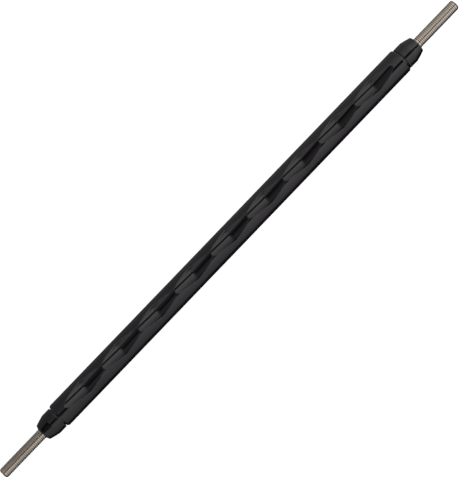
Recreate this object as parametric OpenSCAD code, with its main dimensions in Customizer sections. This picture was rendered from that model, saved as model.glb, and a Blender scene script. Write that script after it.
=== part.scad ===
// Double-ended spring bar tool with reversible tips.
// The tool lies along X with its middle at the origin. The pin end is at +X and the fork end at -X.
// Each tip rod is stowed: its working tip points into the handle and its ribbed free end stands out.

/* [Handle] */
// Outside diameter of the handle
handle_d = 7.2; // [6.9:0.1:8]
// Length of the handle between its end faces
handle_l = 129; // [128:0.2:140]
// Size of the end chamfers along the axis
chamfer_l = 0.5; // [0.2:0.1:0.8]
// How far the end chamfers reduce the radius
chamfer_r = 0.35; // [0.1:0.05:0.4]
// Diameter of the bore that stows a tip
bore_d = 3.2; // [3.1:0.05:3.3]
// Depth of that bore from the end face, without its drill point
bore_l = 21; // [20.9:0.1:24]

/* [Grip recesses] */
// Number of recesses in a row
recess_count = 9; // [1:2:9]
// Number of rows around the handle
recess_rows = 2; // [1:1:2]
// Distance between the centres of neighbouring recesses
recess_pitch = 13.5; // [13:0.1:13.7]
// Half the length of one recess
recess_half_l = 7.3; // [5:0.1:7.5]
// Depth of a recess at its middle
recess_depth = 1.7; // [0.5:0.05:1.7]
// Radius of the two round-bottomed cuts that make a recess
recess_r = 2.4; // [2.4:0.1:6]
// How far the rows sit off the middle of the handle, towards the pin end
recess_shift = -0.2; // [-0.4:0.1:0.4]

/* [Nose nut] */
// Outside diameter of the nose nut
nose_d = 6.5; // [6.3:0.1:6.8]
// Length of the nose nut
nose_l = 5.7; // [5.5:0.1:7]
// Length of its straight part
nose_straight_l = 2.5; // [2:0.1:3]
// Diameter where its taper ends
nose_front_d = 4.9; // [4.6:0.02:5.4]
// Length of the flat cone on its front face
nose_face_l = 0.35; // [0.1:0.05:0.5]
// Diameter of the hole in its front face
nose_hole_d = 3.2; // [3.1:0.05:3.4]
// Pitch of its thread, and so its travel in one turn
thread_pitch = 0.5; // [0.35:0.05:0.5]

/* [Tip rod] */
// Diameter of the rod over its ribs
rod_d = 3; // [2.9:0.02:3]
// Length of the free end that stands out of the nose nut
rod_free_l = 14.5; // [10:0.5:20]
// Length of the full-diameter rod from its free end
rod_grip_l = 26; // [26:0.5:27]
// Length of the slim neck next to the working tip
neck_l = 2; // [1:0.5:3]
// Diameter of that neck
neck_d = 2.2; // [2:0.1:2.4]

/* [Working tips] */
// Length of a working tip beyond the rod
tip_l = 8; // [6:0.5:8]
// Width of the fork blade
fork_w = 2; // [1.6:0.1:2.2]
// Thickness of the fork blade
fork_t = 0.8; // [0.6:0.1:1]
// Width of the notch in the fork
notch_w = 0.9; // [0.6:0.1:1]
// Depth of the notch, with its round end
notch_l = 1.5; // [1:0.1:2]
// Diameter of the pin point
point_d = 0.8; // [0.6:0.1:1]

/* [Hidden] */
$fn = 96;
e = 0.01;
handle_r = handle_d / 2;
half_l = handle_l / 2;
recess_floor = handle_r - recess_depth;
recess_slope = atan(recess_depth / recess_half_l);
scoop_l = 2.4 * recess_half_l;

// Places along an end are measured outwards from the handle's end face.
// Collet holder
holder_r = 2.5;
holder_depth = 5;
flange_r = 2.8;
flange_t = 0.26;
holder_reach = 2.9;
holder_chamfer = 0.2;
seat_r = 1.95;
seat_back = -2.4;
cone_start = 1.9;
cone_rise = 0.25;

// Collet
collet_bore_r = rod_d / 2 + 0.02;
collet_tail_r = seat_r - 0.05;
collet_back = -2;
collet_shoulder = 3;
collet_shoulder_r = collet_tail_r + cone_rise * (collet_shoulder - cone_start);
collet_cone_start = 3.3;
collet_front = 4.6;
front_slope = 0.29;
collet_front_r = collet_shoulder_r - front_slope * (collet_front - collet_cone_start);
slot_w = 0.35;
slot_back = 0.2;

// Nose nut
nose_gap = 0.04;
nose_back = flange_t + nose_gap;
nose_end = nose_back + nose_l;
nose_r = nose_d / 2;
nose_front_r = nose_front_d / 2;
nose_edge = 0.1;
thread_r = holder_r + 0.06;
thread_end = 3.05;
cavity_end = 4.7;
cavity_gap = 0.05;
cavity_r = collet_shoulder_r + cavity_gap;

// Tip rod
rod_r = rod_d / 2;
rod_end = nose_end + rod_free_l;
rod_chamfer = 0.35;
mark_w = 0.6;
mark_r = 1.3;
mark_start = nose_end - mark_w;
grip_start = rod_end - rod_grip_l;
neck_taper_l = 2;
rod_inner_end = grip_start - neck_taper_l - neck_l;
socket_r = 0.8;
socket_l = 3;

// The two ends. Inside them +Z points outwards from the handle's end face.
module pin_end() {
    translate([half_l, 0, 0]) rotate([0, 90, 0]) children();
}

module fork_end() {
    translate([-half_l, 0, 0]) rotate([0, -90, 0]) children();
}

// A turned solid from its half section, given as [radius, place] points
module turned(section) {
    rotate_extrude() polygon(section);
}

// One round-bottomed cut along the handle, rising at the given angle towards +X
module scoop(slope) {
    translate([0, 0, recess_floor])
        rotate([0, -slope, 0])
            translate([0, 0, recess_r])
                rotate([0, 90, 0])
                    cylinder(r = recess_r, h = scoop_l, center = true);
}

// Two such cuts meet in a crease across the middle and run out at the two tips.
module recess() {
    intersection() {
        scoop(recess_slope);
        scoop(-recess_slope);
    }
}

// The hollow inside one end: the press seat of the holder, then the bore that stows a tip
module end_bore() {
    translate([0, 0, -holder_depth]) cylinder(r = holder_r, h = holder_depth + 1);
    translate([0, 0, -bore_l]) cylinder(d = bore_d, h = bore_l);
    translate([0, 0, -bore_l - bore_d * 0.3]) cylinder(r1 = 0, r2 = bore_d / 2, h = bore_d * 0.3);
}

module handle() {
    color("#232325")
        difference() {
            translate([-half_l, 0, 0]) rotate([0, 90, 0]) turned([
                [0, 0], [handle_r - chamfer_r, 0], [handle_r, chamfer_l],
                [handle_r, handle_l - chamfer_l], [handle_r - chamfer_r, handle_l], [0, handle_l]
            ]);
            for (row = [0 : recess_rows - 1], n = [0 : recess_count - 1])
                rotate([row * 180, 0, 0])
                    translate([recess_shift + (n - (recess_count - 1) / 2) * recess_pitch, 0, 0])
                        recess();
            pin_end() end_bore();
            fork_end() end_bore();
        }
}

// Pressed into the handle; its male thread carries the nose nut and its mouth closes the collet
module collet_holder() {
    color("#8d9094") turned([
        [bore_d / 2, -holder_depth], [holder_r, -holder_depth], [holder_r, 0], [flange_r, 0],
        [flange_r, flange_t], [holder_r, flange_t], [holder_r, holder_reach - holder_chamfer],
        [holder_r - holder_chamfer, holder_reach],
        [seat_r + cone_rise * (holder_reach - cone_start), holder_reach],
        [seat_r, cone_start], [seat_r, seat_back], [bore_d / 2, seat_back]
    ]);
}

// Split sleeve with a cone at each side of its shoulder
module collet() {
    color("#b08d57") difference() {
        turned([
            [collet_bore_r, collet_back], [collet_tail_r, collet_back], [collet_tail_r, cone_start],
            [collet_shoulder_r, collet_shoulder], [collet_shoulder_r, collet_cone_start],
            [collet_front_r, collet_front], [collet_bore_r, collet_front]
        ]);
        for (turn = [0, 90])
            rotate([0, 0, turn])
                translate([-slot_w / 2, -nose_r, slot_back])
                    cube([slot_w, nose_d, nose_l]);
    }
}

module nose_nut() {
    color("#2b2b2d") turned([
        [thread_r, nose_back], [nose_r - nose_edge, nose_back], [nose_r, nose_back + nose_edge],
        [nose_r, nose_back + nose_straight_l], [nose_front_r, nose_end - nose_face_l],
        [nose_hole_d / 2, nose_end], [nose_hole_d / 2, cavity_end],
        [cavity_r - front_slope * (cavity_end - collet_cone_start), cavity_end],
        [cavity_r - front_slope * (thread_end - collet_cone_start), thread_end],
        [thread_r, thread_end]
    ]);
}

// Full-diameter rod, a depth mark groove just inside the nose, then the neck that holds the tip
module tip_rod() {
    color("#a89c8d") difference() {
        turned([
            [0, rod_inner_end], [neck_d / 2, rod_inner_end], [neck_d / 2, rod_inner_end + neck_l],
            [rod_r, grip_start], [rod_r, mark_start], [mark_r, mark_start], [mark_r, nose_end],
            [rod_r, nose_end], [rod_r, rod_end - rod_chamfer], [rod_r - rod_chamfer, rod_end],
            [0, rod_end]
        ]);
        translate([0, 0, rod_inner_end]) cylinder(r = socket_r, h = socket_l);
    }
}

// Flat blade with a round-ended notch that catches a spring bar's flange
module blade() {
    color("#c9c9c6") union() {
        translate([0, 0, rod_inner_end - e]) cylinder(r = socket_r, h = socket_l + e);
        difference() {
            intersection() {
                translate([0, 0, rod_inner_end - tip_l]) cylinder(d = fork_w, h = tip_l);
                translate([-fork_w, -fork_t / 2, rod_inner_end - tip_l])
                    cube([2 * fork_w, fork_t, tip_l]);
            }
            translate([-notch_w / 2, -fork_w, rod_inner_end - tip_l - 1])
                cube([notch_w, 2 * fork_w, 1 + notch_l - notch_w / 2]);
            translate([0, 0, rod_inner_end - tip_l + notch_l - notch_w / 2])
                rotate([90, 0, 0]) cylinder(d = notch_w, h = 2 * fork_w, center = true);
        }
    }
}

// Stepped pin with a rounded end that pushes a spring bar through a drilled lug
module point() {
    color("#c9c9c6") union() {
        translate([0, 0, rod_inner_end - tip_l / 2]) cylinder(r = socket_r, h = tip_l / 2 + socket_l);
        translate([0, 0, rod_inner_end - tip_l / 2 - 1])
            cylinder(r1 = point_d / 2, r2 = socket_r, h = 1);
        translate([0, 0, rod_inner_end - tip_l + point_d / 2])
            cylinder(d = point_d, h = tip_l / 2 - 1 - point_d / 2 + e);
        translate([0, 0, rod_inner_end - tip_l + point_d / 2]) sphere(d = point_d);
    }
}

handle();
pin_end() collet_holder();  // pin_collet_holder
fork_end() collet_holder();  // fork_collet_holder
pin_end() collet();  // pin_collet
fork_end() collet();  // fork_collet
pin_end() nose_nut();  // pin_nose_nut
fork_end() nose_nut();  // fork_nose_nut
pin_end() tip_rod();  // pin_tip_rod
fork_end() tip_rod();  // fork_tip_rod
pin_end() point();  // pin_point
fork_end() blade();  // fork_blade
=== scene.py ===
import math

import bpy
import numpy as np
from mathutils import Matrix, Vector


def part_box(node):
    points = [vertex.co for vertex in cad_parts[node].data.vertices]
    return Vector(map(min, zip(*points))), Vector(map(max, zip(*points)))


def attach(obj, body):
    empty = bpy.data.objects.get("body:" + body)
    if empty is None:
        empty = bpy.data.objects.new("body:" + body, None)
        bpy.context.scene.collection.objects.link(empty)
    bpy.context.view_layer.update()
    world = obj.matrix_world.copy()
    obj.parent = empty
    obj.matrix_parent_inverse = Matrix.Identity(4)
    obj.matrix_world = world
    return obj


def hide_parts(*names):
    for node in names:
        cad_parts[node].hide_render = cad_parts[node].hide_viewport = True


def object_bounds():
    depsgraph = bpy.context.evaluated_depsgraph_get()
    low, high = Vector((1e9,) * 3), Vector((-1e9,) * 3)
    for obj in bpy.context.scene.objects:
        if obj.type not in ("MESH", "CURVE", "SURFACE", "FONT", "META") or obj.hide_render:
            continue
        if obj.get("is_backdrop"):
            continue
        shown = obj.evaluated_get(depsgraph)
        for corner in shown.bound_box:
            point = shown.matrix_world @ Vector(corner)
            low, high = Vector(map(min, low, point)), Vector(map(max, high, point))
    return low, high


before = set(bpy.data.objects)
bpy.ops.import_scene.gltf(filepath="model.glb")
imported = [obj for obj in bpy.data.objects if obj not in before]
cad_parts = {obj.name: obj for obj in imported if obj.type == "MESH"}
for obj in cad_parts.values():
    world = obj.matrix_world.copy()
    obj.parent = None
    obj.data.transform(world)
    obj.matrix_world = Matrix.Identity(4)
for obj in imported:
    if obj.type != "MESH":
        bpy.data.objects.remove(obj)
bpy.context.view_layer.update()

MM = 0.001


def span(node):
    """The lowest and highest corner of a CAD node, in millimetres."""
    lo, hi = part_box(node)
    return lo / MM, hi / MM


# ---------------------------------------------------------------- mesh building
# Lengths are in millimetres here, and skin() turns them into metres.

SIDE_SHARE = 0.45        # the most of a side that the rounding of one of its corners may take
STRAIGHT = 1e-4          # a corner that turns less than this, in radians, is left alone
TIGHT = 0.5              # an outer corner rounded less than this is an edge that gets rubbed
ON_AXIS = 1e-6
TINY = 1e-12


def skin(name, rings, normals, loop, start, end, rub_and_shade):
    """A surface through rings of points, each ring a closed loop around the X axis. loop joins the
    last ring to the first; start and end are the points on the axis that close the surface instead.
    rub says, for each point, how much it lies on an outer edge, where the finish is rubbed. It is
    negative in a hollow, where it paints shade: the colour there is darkened."""
    count, around = rings.shape[:2]
    points = rings.reshape(-1, 3)
    norms = normals.reshape(-1, 3)
    faces = []
    for i in range(count if loop else count - 1):
        a, b = i * around, (i + 1) % count * around
        for k in range(around):
            n = (k + 1) % around
            faces.append((a + k, b + k, b + n, a + n))
    for tip, ring, way in ((start, 0, -1.0), (end, count - 1, 1.0)):
        if tip is None:
            continue
        apex = len(points)
        points = np.vstack([points, [tip]])
        norms = np.vstack([norms, [[way, 0, 0]]])
        for k in range(around):
            pair = (ring * around + k, ring * around + (k + 1) % around)
            faces.append((apex,) + (pair if way < 0 else pair[::-1]))
    mesh = bpy.data.meshes.new(name)
    mesh.from_pydata((points * MM).tolist(), [], faces)
    mesh.update()
    # the winding above suits rings that run one way round; turn it over where the normals say so
    poly = mesh.polygons[len(faces) // 3]
    mean = sum((Vector(norms[v]) for v in poly.vertices), Vector())
    if poly.normal.dot(mean) < 0:
        mesh.flip_normals()
    for p in mesh.polygons:
        p.use_smooth = True
    norms = norms / np.maximum(np.linalg.norm(norms, axis=1, keepdims=True), TINY)
    mesh.normals_split_custom_set_from_vertices(norms.tolist())
    marks = np.zeros(len(points))
    marks[:count * around] = rub_and_shade.reshape(-1)
    mesh.attributes.new("rub_and_shade", "FLOAT", "POINT").data.foreach_set("value", marks)
    obj = bpy.data.objects.new(name, mesh)
    bpy.context.scene.collection.objects.link(obj)
    return obj


def rounded(path, closed, steps):
    """A half section of (place, radius, rounding) points with its corners rounded: points, normals,
    and how much each point lies on an outer edge."""
    count = len(path)
    out = []
    for i, (x, r, rounding) in enumerate(path):
        p = np.array([x, r], float)
        if not closed and i in (0, count - 1):
            q = np.array(path[1 if i == 0 else -2][:2], float)
            d = (q - p) if i == 0 else (p - q)
            out.append((p, d / np.linalg.norm(d), 0.0))
            continue
        a = np.array(path[i - 1][:2], float) - p
        b = np.array(path[(i + 1) % count][:2], float) - p
        la, lb = np.linalg.norm(a), np.linalg.norm(b)
        a, b = a / la, b / lb
        turn = math.acos(max(-1.0, min(1.0, float(a @ b))))
        if math.pi - turn < STRAIGHT:
            out.append((p, -a, 0.0))
            continue
        cut = min(rounding / math.tan(turn / 2), SIDE_SHARE * la, SIDE_SHARE * lb)
        radius = cut * math.tan(turn / 2)
        centre = p + (a + b) / np.linalg.norm(a + b) * radius / math.sin(turn / 2)
        u, v = p + a * cut - centre, p + b * cut - centre
        sweep = math.atan2(u[0] * v[1] - u[1] * v[0], float(u @ v))
        for k in range(steps + 1):
            c, s = math.cos(sweep * k / steps), math.sin(sweep * k / steps)
            w = np.array([u[0] * c - u[1] * s, u[0] * s + u[1] * c])
            d = np.array([-w[1], w[0]]) * (1 if sweep > 0 else -1)
            edge = 0 < k < steps and sweep < 0 and radius < TIGHT
            out.append((centre + w, d / np.linalg.norm(d), float(edge)))
    points, along, marks = (np.array(column) for column in zip(*out))
    return points, np.stack([-along[:, 1], along[:, 0]], 1), marks


def swept(values, ring, sign):
    """Rings around the X axis from (place, radius) pairs. ring holds the directions around it, and
    sign is +1 for the pin end and -1 for the fork end."""
    return values[:, None, :1] * [sign, 0, 0] + values[:, None, 1:] * ring


def turned(name, path, sign, steps, closed=True, segs=96, hollow=None):
    """A turned piece. path holds (place, radius, rounding) points: a closed loop, or a line from
    axis to axis. Places are measured away from the middle of the tool. hollow is a range of places
    and a radius: points in that range and nearer the axis than that are in a hollow, which gets
    painted shade."""
    points, norms, rub_and_shade = rounded(path, closed, steps)
    if hollow:
        low, high, radius = hollow
        inside = (points[:, 0] > low) & (points[:, 0] < high) & (points[:, 1] < radius)
        # points in the hollow are marked -1: painted shade, darkened in the material
        rub_and_shade = np.where(inside, -1.0, rub_and_shade)
    angle = np.arange(segs) * 2 * math.pi / segs
    ring = np.stack([np.zeros(segs), np.sin(angle), np.cos(angle)], 1)
    keep = points[:, 1] > ON_AXIS
    start, end = (None if closed else [sign * points[i, 0], 0, 0] for i in (0, -1))
    return skin(name, swept(points[keep], ring, sign), swept(norms[keep], ring, sign), closed,
                start, end, np.repeat(rub_and_shade[keep, None], segs, 1))


# ---------------------------------------------------------------- materials

CLOUD = 160.0                  # scale of the slow change in colour and roughness
HOLLOW_SHADE = 0.50                  # brightness left in a hollow by its painted shade
RINGS = (26000.0, 300.0, 300.0)     # finer along the tool than around it: rings left by turning
SOFT_RINGS = (9000.0, 500.0, 500.0)
GROUND = (300.0, 9000.0, 9000.0)    # lines along the tool, left by grinding


class Net:
    """A small helper that adds shader nodes and links them."""

    def __init__(self, tree):
        self.tree = tree
        tree.nodes.clear()

    def add(self, kind, inputs=(), **values):
        node = self.tree.nodes.new(kind)
        for key, value in values.items():
            setattr(node, key, value)
        for key, value in dict(inputs).items():
            self.put(node.inputs[key], value)
        return node

    def put(self, socket, value):
        if isinstance(value, bpy.types.NodeSocket):
            self.tree.links.new(value, socket)
        else:
            socket.default_value = value

    def math(self, op, a, b=0.0, c=0.0):
        node = self.add("ShaderNodeMath", operation=op)
        for socket, value in zip(node.inputs, (a, b, c)):
            self.put(socket, value)
        return node.outputs[0]

    def dot(self, a, b):
        node = self.add("ShaderNodeVectorMath", {0: a, 1: b}, operation="DOT_PRODUCT")
        return node.outputs["Value"]

    def weigh(self, a, share, b):
        """a by its share, and b by the rest."""
        return self.math("ADD", self.math("MULTIPLY", a, share),
                         self.math("MULTIPLY", b, 1 - share))

    def between(self, value, a, b, to_a=0.0, to_b=1.0, kind="SMOOTHSTEP"):
        """value going from a to b, mapped to to_a and to_b and held there outside."""
        node = self.add("ShaderNodeMapRange", interpolation_type=kind)
        for key, v in (("Value", value), ("From Min", a), ("From Max", b),
                       ("To Min", to_a), ("To Max", to_b)):
            self.put(node.inputs[key], v)
        return node.outputs["Result"]

    def ramp(self, value, stops):
        """stops are (position, colour) pairs; a single number is a grey."""
        node = self.add("ShaderNodeValToRGB", {"Fac": value})
        items = node.color_ramp.elements
        while len(items) < len(stops):
            items.new(0.5)
        for item, (at, colour) in zip(items, stops):
            item.position = at
            item.color = ((colour,) * 3 if isinstance(colour, float) else tuple(colour)) + (1,)
        return node.outputs["Color"]

    def noise(self, coords, scale, detail=3.0, stretch=None):
        if stretch:
            mapping = self.add("ShaderNodeMapping", {"Vector": coords, "Scale": stretch})
            coords = mapping.outputs["Vector"]
        node = self.add("ShaderNodeTexNoise", {"Vector": coords, "Scale": scale, "Detail": detail})
        return node.outputs["Fac"]


def material(name, colours, rough, *, turning, bump, metallic=0.0, ior=1.5, grain=900.0, wear=None):
    """Colour varies between two colours and roughness between two values. turning stretches the
    fine bump into the lines that a lathe or a grinder leaves. wear is the colour of rubbed edges."""
    mat = bpy.data.materials.new(name)
    mat.use_nodes = True
    net = Net(mat.node_tree)
    where = net.add("ShaderNodeTexCoord").outputs["Object"]
    cloud = net.noise(where, CLOUD)
    fine = net.noise(where, grain)
    colour = net.ramp(cloud, [(0.3, colours[0]), (0.7, colours[1])])
    if wear:
        # edges are rubbed a little brighter, unevenly, and hollows get painted shade, darker
        edge = net.add("ShaderNodeAttribute", attribute_name="rub_and_shade").outputs["Fac"]
        uneven = net.between(fine, 0.35, 0.65, 0.3, 1.0)
        mixed = net.add("ShaderNodeMix", data_type="RGBA")
        net.put(mixed.inputs["Factor"], net.math("MULTIPLY", edge, uneven))
        net.put(mixed.inputs["A"], colour)
        net.put(mixed.inputs["B"], tuple(wear) + (1,))
        # painted shade: the colour is darkened where the marks are negative, in hollows
        hollow = net.between(edge, 0.0, -1.0, 1.0, HOLLOW_SHADE, "LINEAR")
        darker = net.add("ShaderNodeVectorMath", {0: mixed.outputs["Result"], 1: hollow},
                         operation="MULTIPLY")
        colour = darker.outputs["Vector"]
    lines = net.noise(where, 1.0, 1.0, turning)
    uneven = net.weigh(cloud, 0.6, lines)
    normal = net.add("ShaderNodeBump", {
        "Strength": 1.0, "Distance": bump * MM, "Height": net.weigh(lines, 0.7, fine)})
    shader = net.add("ShaderNodeBsdfPrincipled", {
        "Base Color": colour, "Metallic": metallic, "IOR": ior,
        "Roughness": net.between(uneven, 0.3, 0.7, rough[0], rough[1], "LINEAR"),
        "Normal": normal.outputs["Normal"]})
    out = net.add("ShaderNodeOutputMaterial")
    mat.node_tree.links.new(shader.outputs["BSDF"], out.inputs["Surface"])
    return mat


black = material(
    "black_anodised_handle", [(0.0075, 0.0050, 0.0080), (0.0120, 0.0088, 0.0124)], (0.06, 0.11),
    ior=1.62, grain=2600.0, bump=0.0004, turning=SOFT_RINGS, wear=(0.050, 0.046, 0.049))
black_nose = material(
    "black_anodised_nose", [(0.0072, 0.0052, 0.0078), (0.0115, 0.0088, 0.0122)], (0.07, 0.13),
    ior=1.62, grain=2600.0, bump=0.0005, turning=RINGS, wear=(0.100, 0.092, 0.098))
steel_dark = material(
    "turned_steel", [(0.10, 0.095, 0.088), (0.15, 0.143, 0.132)], (0.26, 0.38),
    metallic=1.0, bump=0.002, turning=RINGS)
brass = material(
    "turned_brass", [(0.50, 0.34, 0.13), (0.62, 0.45, 0.20)], (0.24, 0.38),
    metallic=1.0, bump=0.002, turning=RINGS)
stainless = material(
    "ribbed_stainless", [(0.78, 0.68, 0.575), (0.89, 0.79, 0.68)], (0.13, 0.20),
    metallic=1.0, bump=0.0006, turning=RINGS, wear=(0.94, 0.87, 0.78))
ground = material(
    "ground_steel_tip", [(0.52, 0.52, 0.51), (0.62, 0.62, 0.61)], (0.20, 0.32),
    metallic=1.0, bump=0.0015, turning=GROUND)


def dress(obj, mat, body, slot, *nodes):
    """Gives a piece its material and, if it takes the place of CAD nodes, its body. slot is not used.
    """
    obj.data.materials.clear()
    obj.data.materials.append(mat)
    if nodes:
        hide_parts(*nodes)
        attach(obj, body)


# ---------------------------------------------------------------- handle

_, top = span("handle")
HALF, R = top.x, min(top.y, top.z)      # half length and radius of the barrel, inside the CAD box

# the row of recesses, which sits SHIFT off the middle
COUNT, PITCH, SHIFT = 9, 13.5, -0.2
HALF_CUT, DEPTH = 7.3, 1.7              # half length of a recess, and depth at its crease
SCOOP_R, WALL = 2.4, 1.0                # radius of a recess's floor, and of its sides
STEEP = math.radians(20)                # how far the sides turn up beyond the floor
CREASE, RIDGE, RIM = 0.6, 0.35, 0.3     # roundings of the crease, the ridge between recesses, the rim
SKIM = 0.004                            # shallower than this there is no recess
MARKED = 0.1                            # shallower than this the rim isn't rubbed
MOST_TURN, HALVINGS = math.radians(75), 50      # of the search for the recess's width
FLOOR_N, WALL_N, RIM_N, SIDE_N = 5, 3, 6, 13    # points on each arc of a quarter outline

# the handle's ends; the drill point is DRILL times the bore's radius deep
LEAD, CHAMFER_L, CHAMFER_R = 0.9, 0.5, 0.35
SEAT_R, SEAT_L, BORE_R, BORE_L, DRILL = 2.5, 5.0, 1.6, 21.0, 0.6

# rings along the handle: from a crease, from a ridge, from the tip of the first and the last
# recess, and on the plain barrel beyond them
NEAR_CREASE = (0, 0.12, 0.25, 0.4, 0.55, 0.75, 1.1, 1.5, 2.0, 2.6, 3.2, 3.8, 4.4, 5.0, 5.5, 5.9,
               6.2, 6.4)
NEAR_RIDGE = (0, 0.08, 0.16, 0.25, 0.35, 0.5)
NEAR_TIP = (0.75, 0.6, 0.45, 0.32, 0.22, 0.14, 0.08, 0.04, 0.02, 0.0, -0.05)
PLAIN = (-63.1, -62.4, 62.2, 63.0)

centres = [SHIFT + (n - (COUNT - 1) / 2) * PITCH for n in range(COUNT)]


def soft_abs(u, w):
    return u if u >= w else (u * u + w * w) / (2 * w)


def depth_at(x):
    """Depth of the recess row at a place along the handle, with its creases and ridges rounded."""
    u = min(abs(x - c) for c in centres)
    if centres[0] < x < centres[-1] and PITCH / 2 - u < RIDGE:
        u = PITCH / 2 - soft_abs(PITCH / 2 - u, RIDGE)
    return DEPTH * (1 - soft_abs(u, CREASE) / HALF_CUT)


def corner(first, steep, floor):
    """Centres of the wall's arc and of the rim's. The floor turns up through first, and the wall
    through steep after that."""
    inner, last = SCOOP_R - WALL, first + steep
    wall = np.array([inner * math.sin(first), floor + SCOOP_R - inner * math.cos(first)])
    return wall, wall + (WALL + RIM) * np.array([math.sin(last), -math.cos(last)])


def arc(centre, radius, begin, end, count, ended=False):
    """Points of an arc and their normals, whose angle runs from begin to end. The radius of a
    hollow arc is negative. The end itself is left to the next arc unless ended."""
    t = np.linspace(begin, end, count, endpoint=ended)
    away = np.stack([np.sin(t), np.cos(t)], 1)
    return np.asarray(centre) + radius * away, away


def section(depth):
    """Quarter of the handle's outline, from the middle of a recess to the side: points, normals."""
    cut = max(depth, SKIM)
    floor = R - cut
    steep = STEEP * min(1.0, cut / DEPTH) ** 2
    low, high = 0.0, MOST_TURN
    for _ in range(HALVINGS):
        first = (low + high) / 2
        wall, rim = corner(first, steep, floor)
        if math.hypot(*rim) < R - RIM:
            low = first
        else:
            high = first
    last = first + steep
    side = math.atan2(*rim)             # angle of the barrel where the rim's rounding ends
    points, norms = (np.vstack(part) for part in zip(
        arc((0, floor + SCOOP_R), -SCOOP_R, 0, -first, FLOOR_N),
        arc(wall, -WALL, -first, -last, WALL_N),
        arc(rim, RIM, -last, side, RIM_N),
        arc((0, 0), R, side, math.pi / 2, SIDE_N, True)))
    if depth <= SKIM:
        t = np.arctan2(points[:, 0], points[:, 1])
        norms = np.stack([np.sin(t), np.cos(t)], 1)
        points = norms * R
    return points, norms


def whole(quarter):
    """The full outline from its quarter."""
    flip_z, flip_y = np.array([1, -1]), np.array([-1, 1])
    return np.vstack([quarter, quarter[-2::-1] * flip_z, quarter[1:] * flip_z * flip_y,
                      quarter[-2:0:-1] * flip_y])


def rim_marks(xs):
    """Marks the rounded rim of each recess as an outer edge, on every ring that cuts one."""
    quarter = np.zeros(FLOOR_N + WALL_N + RIM_N + SIDE_N)
    quarter[FLOOR_N + WALL_N:-SIDE_N] = 0.5, 1.0, 1.0, 1.0, 1.0, 0.6
    line = np.concatenate([quarter, quarter[-2::-1], quarter[1:], quarter[-2:0:-1]])
    cut = np.array([depth_at(x) > MARKED for x in xs], float)
    return cut[:, None] * line


def stations():
    found = set(PLAIN)
    for i, c in enumerate(centres):
        found |= {round(c + s * u, 4) for u in NEAR_CREASE for s in (-1, 1)}
        if i:
            found |= {round(c - PITCH / 2 + s * u, 4) for u in NEAR_RIDGE for s in (-1, 1)}
    found |= {round(centres[0] - HALF_CUT + u, 4) for u in NEAR_TIP}
    found |= {round(centres[-1] + HALF_CUT - u, 4) for u in NEAR_TIP}
    return np.array(sorted(found))


def handle():
    xs = stations()
    outline, facing = (np.array([whole(quarter) for quarter in quarters])
                       for quarters in zip(*(section(depth_at(x)) for x in xs)))
    slope = np.gradient(outline, xs, axis=0)
    lean = -(facing * slope).sum(2, keepdims=True)
    rings = np.concatenate([np.repeat(xs[:, None, None], outline.shape[1], 1), outline], 2)
    normals = np.concatenate([lean, facing], 2)
    # each end: barrel, chamfer, end face, press seat, bore and its drill point
    deep = HALF - BORE_L - DRILL * BORE_R
    path = [(HALF - LEAD, R, 0.1), (HALF - CHAMFER_L, R, 0.12), (HALF, R - CHAMFER_R, 0.08),
            (HALF, SEAT_R, 0.05), (HALF - SEAT_L, SEAT_R, 0.05), (HALF - SEAT_L, BORE_R, 0.05),
            (HALF - BORE_L, BORE_R, 0.1), (deep, 0, 0)]
    points, norms, marks = (v[:-1] for v in rounded(path, False, 4))
    ring = np.pad(whole(section(0)[0]) / R, ((0, 0), (1, 0)))
    marks = np.repeat(marks[:, None], len(ring), 1)
    rings = np.vstack([swept(points, ring, -1)[::-1], rings, swept(points, ring, 1)])
    normals = np.vstack([swept(norms, ring, -1)[::-1], normals, swept(norms, ring, 1)])
    rub_and_shade = np.vstack([marks[::-1], rim_marks(xs), marks])
    return skin("handle_barrel", rings, normals, False, [-deep, 0, 0], [deep, 0, 0], rub_and_shade)


dress(handle(), black, "handle", "handle", "handle")

# ---------------------------------------------------------------- the two ends
# Places on the nose, the thread and the holder are measured outwards from the handle's end face.

# nose nut: its outside, measured from its back and its front, then its inside
STRAIGHT_L, FRONT_R, FACE_L = 2.5, 2.45, 0.35
BULGE_L, BULGE_DROP = 4.1, 0.41                 # a place on the taper, which is slightly convex
NOSE_THREAD_R, THREAD_END, CAVITY_END = 2.56, 3.05, 4.7
CAVITY_BACK_R, CAVITY_FRONT_R = 2.30, 1.82

# tip rod: neck, mark groove just inside the nose, and ribs on the free end
NECK_R, NECK_L, NECK_TAPER_L = 1.1, 2, 2
MARK_R, MARK_W = 1.3, 0.6
RIB, FIRST_GROOVE, GROOVE_W, GROOVE_D, GROOVE_SIDE = 0.5, 0.35, 0.26, 0.17, 0.06
ROD_CHAMFER = 0.35
DARK_FROM, DARK_TO, DARK_D = 0.2, 0.5, 0.08     # where the grooves' floors get painted shade

# collet holder: flange, undercut, rings of thread, mouth and collet seat
FLANGE_R, FLANGE_T, UNDERCUT_R = 2.8, 0.26, 2.38
THREAD_FROM, THREAD_TO, THREAD_PITCH, ROOT_R = 0.55, 2.6, 0.5, 2.26
HOLDER_REACH, HOLDER_EDGE_R, MOUTH_R = 2.9, 2.27, 2.2
CONE_START, COLLET_R, COLLET_BACK = 1.9, 1.95, 2.4

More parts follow.
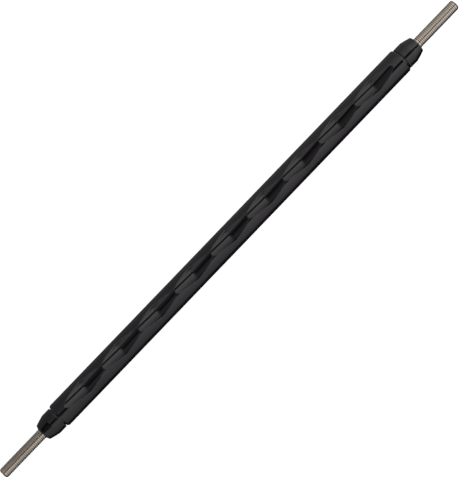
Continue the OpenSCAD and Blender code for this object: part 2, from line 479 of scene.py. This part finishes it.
for end, sign in (("pin", 1), ("fork", -1)):
    lo, hi = span(f"{end}_nose_nut")
    back, front = (lo.x, hi.x) if sign > 0 else (-hi.x, -lo.x)
    nose_r = hi.z
    path = [(back, NOSE_THREAD_R, 0.04), (back, nose_r, 0.12), (back + STRAIGHT_L, nose_r, 0.8),
            (back + BULGE_L, nose_r - BULGE_DROP, 4.0), (front - FACE_L, FRONT_R, 0.16),
            (front, BORE_R, 0.06), (HALF + CAVITY_END, BORE_R, 0.04),
            (HALF + CAVITY_END, CAVITY_FRONT_R, 0.04), (HALF + THREAD_END, CAVITY_BACK_R, 0.04),
            (HALF + THREAD_END, NOSE_THREAD_R, 0.04)]
    nose = turned(f"{end}_nose_cap", path, sign, 7)
    dress(nose, black_nose, f"{end}_nose", "nose", f"{end}_nose_nut")

    lo, hi = span(f"{end}_tip_rod")
    inner, outer = (lo.x, hi.x) if sign > 0 else (-hi.x, -lo.x)
    rod_r = hi.z
    floor_r = rod_r - GROOVE_D
    path = [(inner, 0, 0), (inner, NECK_R, 0.12), (inner + NECK_L, NECK_R, 0.2),
            (inner + NECK_L + NECK_TAPER_L, rod_r, 0.3), (front - MARK_W, rod_r, 0.05),
            (front - MARK_W, MARK_R, 0.05), (front, MARK_R, 0.05), (front, rod_r, 0.05)]
    place = front + FIRST_GROOVE
    while place + GROOVE_W < outer - ROD_CHAMFER:
        path += [(place, rod_r, 0.05), (place + GROOVE_SIDE, floor_r, 0.04),
                 (place + GROOVE_W - GROOVE_SIDE, floor_r, 0.04), (place + GROOVE_W, rod_r, 0.05)]
        place += RIB
    path += [(outer - ROD_CHAMFER, rod_r, 0.1), (outer, rod_r - ROD_CHAMFER, 0.08), (outer, 0, 0)]
    # the grooves' floors get painted shade: their colour is darkened
    rod = turned(f"{end}_rod_ribbed", path, sign, 3, False, 72,
                 (front + DARK_FROM, outer - DARK_TO, rod_r - DARK_D))
    dress(rod, stainless, f"{end}_tip", "rod", f"{end}_tip_rod")

    path = [(HALF - SEAT_L, BORE_R, 0.04), (HALF - SEAT_L, SEAT_R, 0.1), (HALF, SEAT_R, 0.02),
            (HALF, FLANGE_R, 0.03), (HALF + FLANGE_T, FLANGE_R, 0.05),
            (HALF + FLANGE_T, UNDERCUT_R, 0.03)]
    place = HALF + THREAD_FROM
    while place < HALF + THREAD_TO:
        path += [(place - 0.06, ROOT_R, 0.03), (place + 0.16, SEAT_R, 0.03),
                 (place + 0.22, SEAT_R, 0.03)]
        place += THREAD_PITCH
    path += [(HALF + HOLDER_REACH, HOLDER_EDGE_R, 0.04), (HALF + HOLDER_REACH, MOUTH_R, 0.03),
             (HALF + CONE_START, COLLET_R, 0.03), (HALF - COLLET_BACK, COLLET_R, 0.03),
             (HALF - COLLET_BACK, BORE_R, 0.03)]
    holder = turned(f"{end}_holder_threaded", path, sign, 2)
    dress(holder, steel_dark, "handle", "holder", f"{end}_collet_holder")
    dress(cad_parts[f"{end}_collet"], brass, f"{end}_collet", "collet")

dress(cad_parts["pin_point"], ground, "pin_tip", "tip")
dress(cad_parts["fork_blade"], ground, "fork_tip", "tip")

# ---------------------------------------------------------------- floor

FLOOR = 2                               # half its width, in metres

scene = bpy.context.scene
low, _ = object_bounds()
mesh = bpy.data.meshes.new("floor")
mesh.from_pydata([(-FLOOR, -FLOOR, 0), (FLOOR, -FLOOR, 0), (FLOOR, FLOOR, 0), (-FLOOR, FLOOR, 0)],
                 [], [(0, 1, 2, 3)])
floor = bpy.data.objects.new("floor", mesh)
floor.location = (0, 0, low.z)
scene.collection.objects.link(floor)
paint = bpy.data.materials.new("pale_floor")
paint.use_nodes = True
net = Net(paint.node_tree)
where = net.add("ShaderNodeTexCoord").outputs["Object"]
tone = net.ramp(net.noise(where, 30.0), [(0.3, 0.80), (0.7, 0.84)])
surface = net.add("ShaderNodeBsdfPrincipled", {
    "Base Color": tone, "Roughness": 0.9, "Specular IOR Level": 0.1,
    "Emission Color": (1, 1, 1, 1), "Emission Strength": 0.85})
output = net.add("ShaderNodeOutputMaterial")
net.tree.links.new(surface.outputs["BSDF"], output.inputs["Surface"])
floor.data.materials.append(paint)
floor.visible_glossy = False
floor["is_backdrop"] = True

# ---------------------------------------------------------------- camera
# It looks down on the tool, which runs up to the right. The row of recesses is turned a little
# towards the upper left, and the pin end is a little further away than the fork end.

LEAN, CLIMB, TILT = math.radians(8.8), math.radians(46.13), math.radians(3.0)
AWAY, SEEN = 0.5, 0.1242                # distance, and width of the view there, in metres
SENSOR = 36
OFF_ALONG, OFF_ACROSS = -0.00049, -0.00005      # the middle of the view, from the tool's middle

across = Vector((0, math.cos(LEAN), math.sin(LEAN)))
above = Vector((0, -math.sin(LEAN), math.cos(LEAN)))
toward = (above * math.cos(TILT) - Vector((1, 0, 0)) * math.sin(TILT)).normalized()
along = (Vector((1, 0, 0)) * math.cos(TILT) + above * math.sin(TILT)).normalized()
right = along * math.cos(CLIMB) - across * math.sin(CLIMB)
up = along * math.sin(CLIMB) + across * math.cos(CLIMB)
cam_data = bpy.data.cameras.new("camera")
cam_data.sensor_fit = "AUTO"
cam_data.sensor_width = SENSOR
cam_data.lens = SENSOR * AWAY / SEEN
cam_data.clip_start, cam_data.clip_end = 0.01, 20
camera = bpy.data.objects.new("camera", cam_data)
centre = along * OFF_ALONG + across * OFF_ACROSS
rot = Matrix((right, up, toward)).transposed()
camera.matrix_world = Matrix.Translation(centre + toward * AWAY) @ rot.to_4x4()
scene.collection.objects.link(camera)
scene.camera = camera
scene.view_settings.view_transform = "Standard"

# ---------------------------------------------------------------- light
# A light tent around the tool: two long soft sides with a dark slit between them. The slit's
# direction changes along the tool, and towards the fork end a wide shadow lies above it. A
# direction is given by x, how much it points to the pin end, and by alpha, its angle around the
# tool: 0 is above, and it grows towards the lower right of the picture.

SLIT = ((-0.60, -41.0), (-0.47, -37.0), (-0.36, -8.0), (-0.28, 1.0), (-0.20, 1.0), (-0.11, -4.0),
        (0.05, 9.0), (0.22, 12.6), (0.56, 8.0), (0.68, 22.0))       # x and alpha in degrees
SLIT_MOST = 60.0                        # alpha is stored between this and its negative
SLIT_EDGE = (0.12, 0.26)                # half width of the slit, dark and in all, in radians
BRIGHT = ((-179, 0.05), (-120, 0.31), (-70, 0.44), (-40, 0.78), (-8, 1.0), (34, 1.05), (80, 0.57),
          (98, 0.34), (107, 0.0))       # alpha in degrees and strength, at the pin end
FAINT = ((-179, 0.03), (-120, 0.18), (-70, 0.20), (-40, 0.22), (-14, 0.30), (24, 0.64), (80, 0.36),
         (100, 0.26), (112, 0.0))       # and at the fork end
FAINT_X, BRIGHT_X = -0.10, 0.30
SHADE_X = (-0.20, -0.34)                # where the shadow begins and where it is full
SHADE_SIDES = ((-54, -36), (30, 14))    # the same around the tool, in degrees, on either side
DEEP_X, DEEP_LEFT = (-0.42, -0.60), (0.32, 0.12)    # the light left in it, further out

world = bpy.data.worlds.new("studio")
scene.world = world
world.use_nodes = True
net = Net(world.node_tree)
way = net.add("ShaderNodeTexCoord").outputs["Generated"]
x = net.dot(way, (1, 0, 0))
alpha = net.math("ARCTAN2", net.dot(way, tuple(-across)), net.dot(way, tuple(above)))
slit = net.ramp(net.math("MULTIPLY_ADD", x, 0.5, 0.5),
                [((v + 1) / 2, (g + SLIT_MOST) / (2 * SLIT_MOST)) for v, g in SLIT])
slit = net.math("RADIANS", net.math("MULTIPLY_ADD", slit, 2 * SLIT_MOST, -SLIT_MOST))
off = net.math("ABSOLUTE", net.math("SUBTRACT", alpha, slit))
beside = net.between(off, *SLIT_EDGE)
turn = net.math("MULTIPLY_ADD", alpha, 0.5 / math.pi, 0.5)
faint, bright = (net.ramp(turn, [((a + 180) / 360, v) for a, v in stops])
                 for stops in (FAINT, BRIGHT))
sides = [net.between(alpha, math.radians(a), math.radians(b)) for a, b in SHADE_SIDES]
shade = net.math("MULTIPLY", net.between(x, *SHADE_X), net.math("MULTIPLY", *sides))
blend = net.add("ShaderNodeMix", data_type="RGBA")
net.put(blend.inputs["Factor"], net.between(x, FAINT_X, BRIGHT_X, kind="LINEAR"))
net.put(blend.inputs["A"], faint)
net.put(blend.inputs["B"], bright)
left = net.between(x, *DEEP_X, *DEEP_LEFT)
glow = net.math("MULTIPLY", net.math("MULTIPLY", blend.outputs["Result"], beside),
                net.between(shade, 0.0, 1.0, 1.0, left, "LINEAR"))
sky = net.add("ShaderNodeBackground", {"Strength": glow, "Color": (1, 1, 1, 1)})
plain = net.add("ShaderNodeBackground", {"Strength": 1.0, "Color": (1, 1, 1, 1)})
# the camera itself sees plain white
seen = net.add("ShaderNodeLightPath").outputs["Is Camera Ray"]
pick = net.add("ShaderNodeMixShader", {"Fac": seen})
net.tree.links.new(sky.outputs[0], pick.inputs[1])
net.tree.links.new(plain.outputs[0], pick.inputs[2])
output = net.add("ShaderNodeOutputWorld")
net.tree.links.new(pick.outputs[0], output.inputs["Surface"])

lo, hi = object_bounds()
